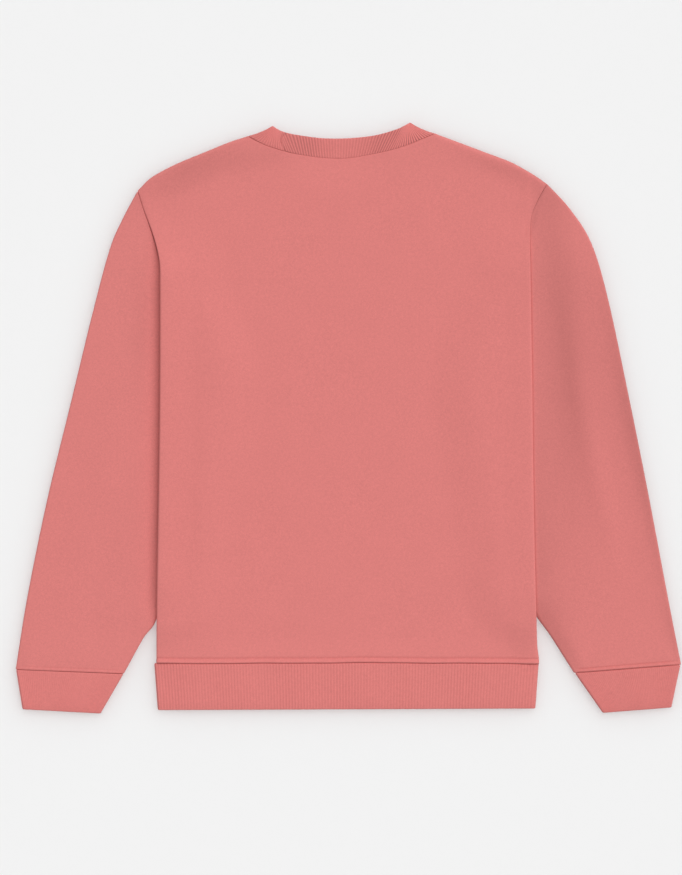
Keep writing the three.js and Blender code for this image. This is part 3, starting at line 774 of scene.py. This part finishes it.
# Flat on the surface, climbing at its sides to the side seams. Columns run straight down from the neck,
# closer together at its ends where its curve is steep, and lean in below the shoulders.
def frontGrid(depth):
    v = unevenSteps(frontPiece["rows"])[:, None]
    gap = cloth["seamGap"]
    corner = {side: shoulderX[side] - outward[side] * gap for side in outward}
    angle = np.linspace(0, np.pi, frontPiece["neckColumns"])
    xAtTop = np.concatenate([
        np.linspace(corner["left"], bandLeft["x"], frontPiece["shoulderColumns"])[:-1],
        neckMiddle - neckHalf * np.cos(angle),
        np.linspace(bandRight["x"], corner["right"], frontPiece["shoulderColumns"])[1:],
    ])[None, :]
    x = xAtTop
    for side, band in (("left", bandLeft), ("right", bandRight)):
        seam = seamX(side, mix(body["hemSeam"], shoulderY[side], v)) - outward[side] * gap
        share = np.clip((xAtTop - band["x"]) / (corner[side] - band["x"]), 0, 1)
        x = x + share * (seam - corner[side])
    y = mix(body["hemSeam"] + gap, frontTopY(xAtTop), v)
    low, high = (body["underarm"] + above for above in frontPiece["settle"])
    rise = lift(x, y) * (1 - ramp(y, low, high))
    return np.stack([x, wavered(x, y), rise + depth], -1)


front = makePanel("frontPanel", frontGrid(cloth["fleeceWall"]), frontGrid(0), "fleece")
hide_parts("front")

# Sleeves

sleevePiece = {
    "rows": [(0.01, 6), (0.06, 8), (0.95, 96), (0.978, 12), (1, 30)],
    "insideRows": 60,
    "over": 110,
    "under": 60,
    "turnSteps": 8,
    "length": 560,
    "edgeRun": 0.12,  # share of the width where the folds start at each edge
    "armholeRun": 0.1,
    "freeOfBody": (-8, 3),  # out from the body's edge, where the folds start
    "mostFold": 2.4,
    "leastGap": 0.2,  # between the two layers
    "leastSoft": 0.2,
    "dip": {"left": 1.9, "right": 0},  # the body's left roll presses the sleeve beside it
    "dipRun": (2, 26),
    "dipStart": (96, 130),  # levels
    "dipEnd": (550, 600),
    "swell": {"left": 0, "right": 4.2},  # and on the right the sleeve fills up beside the body
    "swellRise": (-3, 1),
    "swellRun": (3, 48),
    "swellStart": (100, 140),
    "swellEnd": (520, 590),
    "cuffSwell": 1.5,  # the sleeve rises to the cuff's height
    "cuffSwellRun": (6, 60),
    "cuffRidge": {"left": 0.3, "right": 1.2},
    "cuffRidgeAt": 2,
    "cuffRidgeHalf": 1.4,
    "cuffDent": 0.6,  # share of the ridge, under the stitching
    "cuffDentHalf": 1.2,
    "stitchFromSeam": 4.6,
    "seamRound": {"left": 1.9, "right": 0.15},  # how much lower the armhole edge is
    "seamRoundRun": 0.008,  # share of the length
    "cuffRound": 0.9,
    "cuffRoundRun": 0.0025,
    "paintedShade": {"left": 0, "right": 0.11},  # painted shade beside the body
    "paintedShadeRun": (8, 60),
    "paintedShadeLess": 0.7,  # and less so towards the shoulder
    "paintedShadeLessFrom": (180, 480),  # levels
}


# How far out from the body's edge a place on a sleeve lies
def besideBody(side, x, y):
    return outward[side] * (x - edgeX(side, np.clip(y, body["edgeLow"], shoulderY[side])))


# Sleeve over s from the outer to the inner edge and v from the armhole to the cuff
def sleeveTube(side):
    rows = sleeveSections[side]
    look = sleevePiece

    # Straight across from the outer to the inner edge, bent near the armhole to meet its seam
    def plan(underneath, s, v):
        s, v = np.broadcast_arrays(np.asarray(s, float), v)
        seamLevel = mix(shoulderY[side], body["underarm"], s)
        straight = mix(rows["outerX"][0], rows["innerX"][0], s)
        bend = (seamX(side, seamLevel) + outward[side] * cloth["seamGap"] - straight) * (1 - v) ** 2
        x = mix(along(rows, "v", "outerX", v), along(rows, "v", "innerX", v), s) + bend
        y = mix(along(rows, "v", "outerY", v), along(rows, "v", "innerY", v), s)
        return x, y

    # Thickness + folds - dip + swell beside the body + seam ridge and swell towards the cuff
    def topZ(s, v):
        x, y = plan(0, s, v)
        beside = besideBody(side, x, y)
        inside = ramp(np.minimum(s, 1 - s), 0, look["edgeRun"])
        soft = (foldRise(x, y) + unevenness(x, y)) * inside * ramp(v, 0, look["armholeRun"])
        soft = soft * ramp(beside, *look["freeOfBody"])
        pressed = look["dip"][side] * (1 - ramp(beside, *look["dipRun"])) * inside
        pressed = pressed * (1 - ramp(y, *look["dipEnd"])) * ramp(y, *look["dipStart"])
        swell = look["swell"][side] * ramp(beside, *look["swellRise"])
        swell = swell * (1 - ramp(beside, *look["swellRun"]))
        swell = swell * (ramp(y, *look["swellStart"]) * (1 - ramp(y, *look["swellEnd"])))
        thick = body["sleeveThick"] + np.minimum(soft, look["mostFold"]) - (pressed - swell)
        flat = atLeast(thick, 2 * cloth["fleeceWall"] + look["leastGap"], look["leastSoft"])
        toCuff = (1 - v) * endRun(s)
        dent = look["cuffDent"] * bell(toCuff, look["stitchFromSeam"], look["cuffDentHalf"])
        ridge = look["cuffRidge"][side] * (bell(toCuff, look["cuffRidgeAt"], look["cuffRidgeHalf"]) - dent)
        return flat + (ridge + look["cuffSwell"] * (1 - ramp(toCuff, *look["cuffSwellRun"]))) * inside

    # Length of sleeve for a whole step of v, as it is beside the cuff
    def endRun(s):
        outer, inner = (
            math.hypot(*[np.diff(rows[edge + axis])[-1] for axis in "XY"]) for edge in ("outer", "inner")
        )
        return mix(outer, inner, s) * (len(rows["v"]) - 1)

    return {"plan": plan, "topZ": topZ, "endRun": endRun}


# Tube from the armhole to the cuff: rows along it and back inside, with both its ends rounded
def makeSleeve(side):
    look = sleevePiece
    outer = unevenSteps(look["rows"])
    inner = np.linspace(1, 0, look["insideRows"])
    v = np.concatenate([outer, inner])
    atSeam = look["seamRound"][side] * np.clip(1 - outer / look["seamRoundRun"], 0, 1) ** 2
    atCuff = look["cuffRound"] * np.clip(1 - (1 - outer) / look["cuffRoundRun"], 0, 1) ** 2
    depth = np.concatenate([atSeam + atCuff, 0 * inner + cloth["fleeceWall"]])[:, None]
    over, under = np.linspace(0, 1, look["over"]), np.linspace(0, 1, look["under"])
    columns = look["over"] + look["under"] + 2 * look["turnSteps"]
    depth = np.repeat(depth, columns, axis=1)

    # Painted shade: the painted areas, and darker on the sleeve beside the body's edge, less so towards the
    # shoulder
    def paintedShade(x, y):
        near = 1 - ramp(besideBody(side, x, y), *look["paintedShadeRun"])
        near = near * (1 - look["paintedShadeLess"] * ramp(y, *look["paintedShadeLessFrom"]))
        return paintedShadeAt(x, y) - look["paintedShade"][side] * near

    rings = tubeRings(sleeveTube(side), v, depth, over, under, look["turnSteps"])
    return makeTube("sleeve" + side.capitalize(), rings, v * look["length"], "fleece", paintedShade)


sleeves = {side: makeSleeve(side) for side in outward}
for side, sleeve in sleeves.items():
    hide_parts("sleeve_" + side)

# Rib bands

bandPiece = {
    "thick": 6.8,
    "samples": 6,  # points across each rib
    "seamSteps": (0, 0.35, 0.8, 1.4, 2.2),  # rows beside the seam edge, which is rounded
    "seamRun": 1.4,
    "outerRows": 14,
    "foldRound": 5,  # steps round half of the folded edge
    "innerRows": 10,
    "ribFade": (0.2, 0.7),  # share of the turn where the ribs end
    "edgeRun": 0.06,
    "foldDrop": 0.8,  # the top comes down to the folded edge
    "foldFrom": 0.85,
    "waverEnd": 0.4,
    "patchRise": 0.35,  # soft rises and ripples over the band
    "patchX": 27,
    "patchY": 19,
    "rippleRise": 0.2,
    "rippleX": 11,
    "rippleY": 31,
}


# Cross-section of a doubled rib wall from its seam edge to its fold and back inside: the distance along
# it, the depth, and how much of the ribs it has
def ribSection(length, seamDrop):
    half = cloth["ribWall"] / 2
    start = np.array(bandPiece["seamSteps"])
    outerWall = np.linspace(start[-1], length - half, bandPiece["outerRows"])[1:]
    turn = np.pi * np.arange(1, 2 * bandPiece["foldRound"] + 1) / (2 * bandPiece["foldRound"])
    innerWall = np.linspace(length - half, 0, bandPiece["innerRows"])[1:]
    distance = np.concatenate([start, outerWall, length - half + half * np.sin(turn), innerWall])
    depth = np.concatenate([
        seamDrop * np.clip(1 - start / bandPiece["seamRun"], 0, 1) ** 2,
        0 * outerWall,
        half * (1 - np.cos(turn)),
        0 * innerWall + 2 * half,
    ])
    ribbed = np.concatenate([
        np.ones(len(start) + len(outerWall)), 1 - ramp(turn / np.pi, *bandPiece["ribFade"]), 0 * innerWall,
    ])
    return distance, depth, ribbed


# The grooves are a little deeper here and there: by how much, over how many ribs
grooveWaves = table("much ribs start", [(0.14, 3.1, 0), (0.1, 7.7, 1)])


# Grooves round a ring of ribs, 0 to about 1: a cosine for each rib x (1 + the sum of the waves)
def ribGrooves(columns, samples):
    place = np.arange(columns)
    uneven = 1
    for wave in eachRow(grooveWaves):
        uneven = uneven + wave["much"] * np.sin(place / samples / wave["ribs"] + wave["start"])
    return 0.5 * uneven * (1 + np.cos(2 * np.pi * place / samples))


# Ring of doubled rib, with its grooves cut into the outer wall and a painted shade that darkens with them
# and along the join. Relief gives what changes over a ring: share of the grooves, depth of the join,
# how strong the painted groove shade is, and painted light.
def makeRibRing(name, tube, look, topRibs, underRibs, turnRibs, relief=None):
    samples = bandPiece["samples"]
    length = look["length"]
    distance, depth, ribbed = ribSection(length, look["seamDrop"])
    ribbed = ribbed[:, None]
    over, under = ((np.arange(ribs * samples) + 0.5) / (ribs * samples) for ribs in (topRibs, underRibs))
    columns = len(over) + len(under) + 2 * turnRibs * samples
    share, join, strength, light = 1, 0, 1, 1
    if relief is not None:
        share, join, strength, light = relief(distance / length, over, columns)
    grooved = ribbed * look["ribShare"] * ribGrooves(columns, samples)[None, :] * share
    joined = (ribbed > 0) * join
    depths = depth[:, None] + cloth["ribRise"] * grooved + joined
    rings = tubeRings(tube, distance / length, depths, over, under, turnRibs * samples)
    # Painted shade: darker in the grooves and along the join
    darker = look["paintedGrooveShade"] * strength * grooved + look.get("paintedJoinShade", 0) * joined
    tone = look["tone"] * light * (1 - darker)
    return makeTube(name, rings, distance, "rib", lambda x, y: paintedShadeAt(x, y) * tone)


# Each edge runs from the outer end, or the hem's left end, to the other one: x, y, x and y
bands = {
    "cuffRibLeft": {
        "node": "cuff_left", "pitch": 2.6, "length": 46, "seamDrop": 0.5, "waver": 0,
        "tone": 1, "paintedGrooveShade": 0, "ribShare": 0.5,
        "seam": (-402.2, 47.7, -271.4, 42.7), "free": (-394.4, -0.2, -299.2, -5.4),
    },
    "cuffRibRight": {
        "node": "cuff_right", "pitch": 2.6, "length": 49, "seamDrop": 1.3, "waver": 0,
        "tone": 0.985, "paintedGrooveShade": 0, "ribShare": 0.5,
        "seam": (405.2, 53.8, 276.6, 43.8), "free": (394.3, 2, 310.4, -4.6),
    },
    "hemRib": {
        "node": "hem_band", "pitch": 3.75, "length": 55.4, "seamDrop": 1.2, "waver": 1,
        "tone": 1.015, "paintedGrooveShade": 0.04, "ribShare": 0.8,
        "seam": (-234.2, 55.66, 233, 55.66), "free": (-229.9, -1.2, 229, 0.7),
    },
}


# Band over s from one end to the other and v from the seam edge to the folded edge
def bandTube(band):
    seam, free = band["seam"], band["free"]
    look = bandPiece

    # Straight from the seam edge to the free edge, a little wavy where the seam is
    def plan(underneath, s, v):
        x = mix(mix(seam[0], seam[2], s), mix(free[0], free[2], s), v)
        y = mix(mix(seam[1], seam[3], s), mix(free[1], free[3], s), v)
        return x, y + band["waver"] * hemWaver(x) * (1 - ramp(v, 0, look["waverEnd"]))

    # Thickness + soft rises and ripples - drop to the folded edge
    def topZ(s, v):
        x, y = plan(0, s, v)
        soft = look["patchRise"] * np.sin(x / look["patchX"] + 1) * np.sin(y / look["patchY"])
        soft = soft + look["rippleRise"] * np.sin(x / look["rippleX"] + y / look["rippleY"])
        inside = ramp(np.minimum(s, 1 - s), 0, look["edgeRun"])
        drop = look["foldDrop"] * ramp(v, look["foldFrom"], 1)
        return look["thick"] + cloth["ribRise"] + soft * inside - drop

    return {"plan": plan, "topZ": topZ}


for name, band in bands.items():
    width = abs(band["seam"][2] - band["seam"][0])
    ribs = round(width / band["pitch"])
    turnRibs = round(math.pi * bandPiece["thick"] / 2 / band["pitch"])
    tube = bandTube(band)
    makeRibRing(name, tube, band, ribs, ribs, turnRibs)
    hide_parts(band["node"])

# Neckband

neckPiece = {
    "proud": 0.8,  # how far the band's top stands over the panel, ribs included
    "endRun": (0.01, 0.1),  # share of the arc where it comes down to the band's own thickness
    "foldDrop": 0.6,
    "foldPower": 6,
    "pitch": 3.3,
    "leastSpread": 0.15,  # where the ribs close up
    "length": 21,
    "frontRibs": 100,
    "turnRibs": 3,
    "seamDrop": 0.35,
    "tone": 1.02,
    "paintedGrooveShade": 0.14,
    "ribShare": 1,
    "endSag": 1.4,
    "sagRun": (0.42, 0.5),  # share of the arc from its middle
    "joinDepth": 0.9,
    "joinWide": 0.9,
    "paintedJoinShade": 0.15,
}

# Where the ribs of the back arc meet its seam and its free edge: they spread, and close up at the ends
ribFan = table("seam free", [
    (-120.5, -90.6), (-71.7, -82.0), (-52.7, -58.3), (-7.3, -6.7),
    (32.3, 41.9), (49.8, 64.5), (59.5, 71.5), (107, 76.8),
])
# How strong the painted shade in the grooves is along the seam, and the painted light on the rib
ribLook = table("seam strength tone", [
    (-120.5, 1.2, 1.04), (-84, 1.3, 1.05), (-72, 2.5, 1.03), (-50, 2.3, 1.02), (-25, 1.1, 1),
    (20, 1.1, 1), (45, 2.6, 1.04), (85, 3.6, 1.2), (107, 2.6, 1.2),
])
# The band's own join, across the back arc
joinLine = table("v x", [(0, -77.9), (0.5, -82.5), (1, -76.7)])


# Half an ellipse that hangs between two ends: x by the cosine, y by the sine x drop
def halfEllipse(fromX, fromY, toX, toY, drop, s):
    angle = np.pi * s
    x = (fromX + toX) / 2 - (toX - fromX) / 2 * np.cos(angle)
    return x, mix(fromY, toY, (1 - np.cos(angle)) / 2) - drop * np.sin(angle)


# The back arc runs on top from seam to free edge, and the front arc below is half an ellipse
def neckPlan(underneath, s, v):
    s, v = np.broadcast_arrays(np.asarray(s, float), v)
    ends = (bandLeft["x"], bandLeft["y"], bandRight["x"], bandRight["y"])
    freeEnds = [neckFreeEdge[name][i] for i in (0, -1) for name in ("x", "y")]
    if underneath:
        seamAt, seamY = halfEllipse(*ends, body["frontNeckDrop"], s)
        freeAt, freeY = halfEllipse(*freeEnds, body["frontFreeDrop"], s)
    else:
        seamAt = mix(bandLeft["x"], bandRight["x"], s)
        seamY = topY(seamAt)
        freeAt = np.clip(along(ribFan, "seam", "free", seamAt), freeEnds[0], freeEnds[2])
        freeY = along(neckFreeEdge, "x", "y", freeAt)
    sag = neckPiece["endSag"] * 4 * v * (1 - v) * ramp(np.abs(s - 0.5), *neckPiece["sagRun"])
    return mix(seamAt, freeAt, v), mix(seamY, freeY, v) - sag


# The panel's top at the seam + how proud the band stands, down to its own thickness at the ends, - drop
# to the folded edge
def neckTopZ(s, v):
    seamAt = mix(bandLeft["x"], bandRight["x"], s)
    overPanel = backTop(seamAt, topY(seamAt)) + neckPiece["proud"]
    inside = ramp(np.minimum(s, 1 - s), *neckPiece["endRun"])
    drop = neckPiece["foldDrop"] * np.clip(v, 0, 1) ** neckPiece["foldPower"]
    return mix(bandPiece["thick"] + cloth["ribRise"], overPanel, inside) - drop


# Share of the grooves where the ribs close up, join depth, painted groove shade's strength, painted light
def neckRelief(v, over, columns):
    v, seamAt = v[:, None], mix(bandLeft["x"], bandRight["x"], over)
    closing = np.gradient(along(ribFan, "seam", "free", seamAt), seamAt)
    closing = np.clip(closing, neckPiece["leastSpread"], 1)
    offset = neckPlan(0, over[None, :], v)[0] - along(joinLine, "v", "x", np.clip(v, 0, 1))
    parts = (
        (mix(1, closing, v), 1),
        (neckPiece["joinDepth"] * bell(offset, 0, neckPiece["joinWide"]), 0),
        (along(ribLook, "seam", "strength", seamAt) + 0 * v, 1),
        (along(ribLook, "seam", "tone", seamAt) + 0 * v, 1),
    )
    rest = columns - len(over)
    return [np.concatenate([part, np.full((len(v), rest), value)], axis=1) for part, value in parts]


neckband = makeRibRing(
    "neckbandRib", {"plan": neckPlan, "topZ": neckTopZ}, neckPiece,
    round(2 * neckHalf / neckPiece["pitch"]), neckPiece["frontRibs"], neckPiece["turnRibs"], neckRelief,
)
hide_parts("neckband")

# Stitching

stitch = {
    "length": 2.5,
    "pitch": 3.2,
    "radius": 0.24,
    "rise": 0.16,  # its middle over the cloth
    "sink": 0.44,  # its ends below its middle
    "endThin": 0.02,
    "step": 0.5,  # for the direction of the line
    "around": 6,
    "ahead": 6,
}


# Threads along a line on the cloth: each a slim spindle whose ends dive into the cloth
def makeStitches(name, line):
    distance = runLength(line)
    places = np.arange(stitch["pitch"], distance[-1] - stitch["pitch"], stitch["pitch"])

    def at(d):
        return np.stack([np.interp(d, distance, line[:, i]) for i in range(3)], -1)

    middle = at(places)
    ahead = at(places + stitch["step"]) - at(places - stitch["step"])
    ahead /= np.linalg.norm(ahead, axis=1, keepdims=True)
    aside = np.cross(ahead, [0, 0, 1])
    aside /= np.linalg.norm(aside, axis=1, keepdims=True)
    t = np.linspace(-1, 1, stitch["ahead"] + 1)
    angle = 2 * np.pi * np.arange(stitch["around"]) / stitch["around"]
    thick = stitch["radius"] * np.sqrt(np.maximum(1 - t**4, stitch["endThin"]))
    spindle = (
        t[:, None] * stitch["length"] / 2 + 0 * angle,
        thick[:, None] * np.cos(angle),
        thick[:, None] * np.sin(angle) + stitch["rise"] - stitch["sink"] * t[:, None] ** 2,
    )
    long, wide, high = (part.reshape(1, -1, 1) for part in spindle)
    points = middle[:, None] + ahead[:, None] * long + aside[:, None] * wide + np.array([0, 0, 1]) * high
    cornerRows, cornerColumns = gridQuads(len(t), len(angle), False, True)
    one = cornerRows * len(angle) + cornerColumns % len(angle)
    # Each end has six corners, so two quads close it
    caps = np.array([[0, 1, 2, 3], [0, 3, 4, 5]])
    last = (len(t) - 1) * len(angle)
    one = np.concatenate([one, caps[:, ::-1], caps + last])
    quads = (one[None] + (np.arange(len(places)) * points.shape[1])[:, None, None]).reshape(-1, 4)
    uv = np.zeros((len(quads), 4, 2))
    return makePiece(name, points.reshape(-1, 3), quads, uv, "thread")


stitchLines = {
    "hemHalf": 222,
    "hemPoints": 160,
    "armholeLow": {"left": 574, "right": 572},
    "armholeShort": 8,  # below the shoulder's corner
    "armholePoints": 40,
    "cuffShort": 0.05,  # share of the width at each end
    "cuffPoints": 60,
}

hemX = np.linspace(-stitchLines["hemHalf"], stitchLines["hemHalf"], stitchLines["hemPoints"])
hemY = body["hemSeam"] + bodyLook["hemStitch"] + 0 * hemX
hemLine = np.stack([hemX, hemY + hemWaver(hemX), backTop(hemX, hemY)], -1)
hemStitches = makeStitches("hemStitches", hemLine)

for side, low in stitchLines["armholeLow"].items():
    y = np.linspace(low, shoulderY[side] - stitchLines["armholeShort"], stitchLines["armholePoints"])
    x = edgeX(side, y) - outward[side] * bodyLook["armholeStitch"]
    line = np.stack([x, y, backTop(x, y)], -1)
    makeStitches("armholeStitches" + side.capitalize(), line)

for side in outward:
    tube = sleeveTube(side)
    s = np.linspace(stitchLines["cuffShort"], 1 - stitchLines["cuffShort"], stitchLines["cuffPoints"])
    v = 1 - sleevePiece["stitchFromSeam"] / tube["endRun"](s)
    x, y = tube["plan"](0, s, v)
    line = np.stack([x, y, tube["topZ"](s, v)], -1)
    makeStitches("cuffStitches" + side.capitalize(), line)

# Studio: a plain pale floor, a wide soft lamp from beyond the neck and soft light all round

studio = {
    "floorColor": (0.85, 0.85, 0.85),
    "floorRoughness": 0.9,
    "floorGlow": (0.92, 0.92, 0.92),
    "glowShare": 0.36,  # the floor is lit through from below, as a light table is
    "floorSoak": 0.06,  # metres that light spreads inside it
    "floorSize": 60,
    "floorDrop": 0.0003,  # below the cloth
    "keyPlace": (0.75, 0.95, 2.2),  # it shines from here towards the origin
    "keySpread": 55,  # degrees
    "keyPower": 2.42,
    "ambient": 0.36,
    "cameraPlace": (-0.0090, -0.02405, 2.957),
    "cameraLens": 100,
}


# Pale paper that light soaks into, lit through from below
def makeFloor():
    half = studio["floorSize"] / 2
    mesh = bpy.data.meshes.new("table")
    corners = [(x * half, y * half, -studio["floorDrop"]) for x, y in ((-1, -1), (1, -1), (1, 1), (-1, 1))]
    mesh.from_pydata(corners, [], [(0, 1, 2, 3)])
    material = bpy.data.materials.new("tablePaper")
    material.use_nodes = True
    tree = material.node_tree
    shader = tree.nodes["Principled BSDF"]
    shader.inputs["Base Color"].default_value = (*studio["floorColor"], 1)
    shader.inputs["Roughness"].default_value = studio["floorRoughness"]
    shader.inputs["Specular IOR Level"].default_value = 0
    shader.subsurface_method = "BURLEY"
    shader.inputs["Subsurface Weight"].default_value = 1
    shader.inputs["Subsurface Radius"].default_value = (1, 1, 1)
    shader.inputs["Subsurface Scale"].default_value = studio["floorSoak"]
    glow = addNode(tree, "ShaderNodeEmission")
    glow.inputs["Color"].default_value = (*studio["floorGlow"], 1)
    both = addNode(tree, "ShaderNodeMixShader")
    both.inputs["Fac"].default_value = studio["glowShare"]
    tree.links.new(shader.outputs["BSDF"], both.inputs[1])
    tree.links.new(glow.outputs["Emission"], both.inputs[2])
    tree.links.new(both.outputs["Shader"], tree.nodes["Material Output"].inputs["Surface"])
    mesh.materials.append(material)
    floor = bpy.data.objects.new("table", mesh)
    bpy.context.scene.collection.objects.link(floor)


# The lamp, aimed at the garment, and an even surround
def makeLights():
    lamp = bpy.data.lights.new("softbox", "SUN")
    lamp.angle = math.radians(studio["keySpread"])
    lamp.energy = studio["keyPower"]
    softbox = bpy.data.objects.new("softbox", lamp)
    softbox.location = studio["keyPlace"]
    aim = -softbox.location.normalized()
    softbox.rotation_euler = aim.to_track_quat("-Z", "Y").to_euler()
    bpy.context.scene.collection.objects.link(softbox)
    world = bpy.data.worlds.new("studio")
    world.use_nodes = True
    world.node_tree.nodes["Background"].inputs["Color"].default_value = (1, 1, 1, 1)
    world.node_tree.nodes["Background"].inputs["Strength"].default_value = studio["ambient"]
    bpy.context.scene.world = world


# Straight above the garment
def makeCamera():
    camera = bpy.data.cameras.new("overhead")
    camera.lens = studio["cameraLens"]
    overhead = bpy.data.objects.new("overhead", camera)
    overhead.location = studio["cameraPlace"]
    bpy.context.scene.collection.objects.link(overhead)
    bpy.context.scene.camera = overhead


bpy.context.scene.view_settings.view_transform = "Standard"
makeFloor()
makeLights()
makeCamera()
print("studio set")
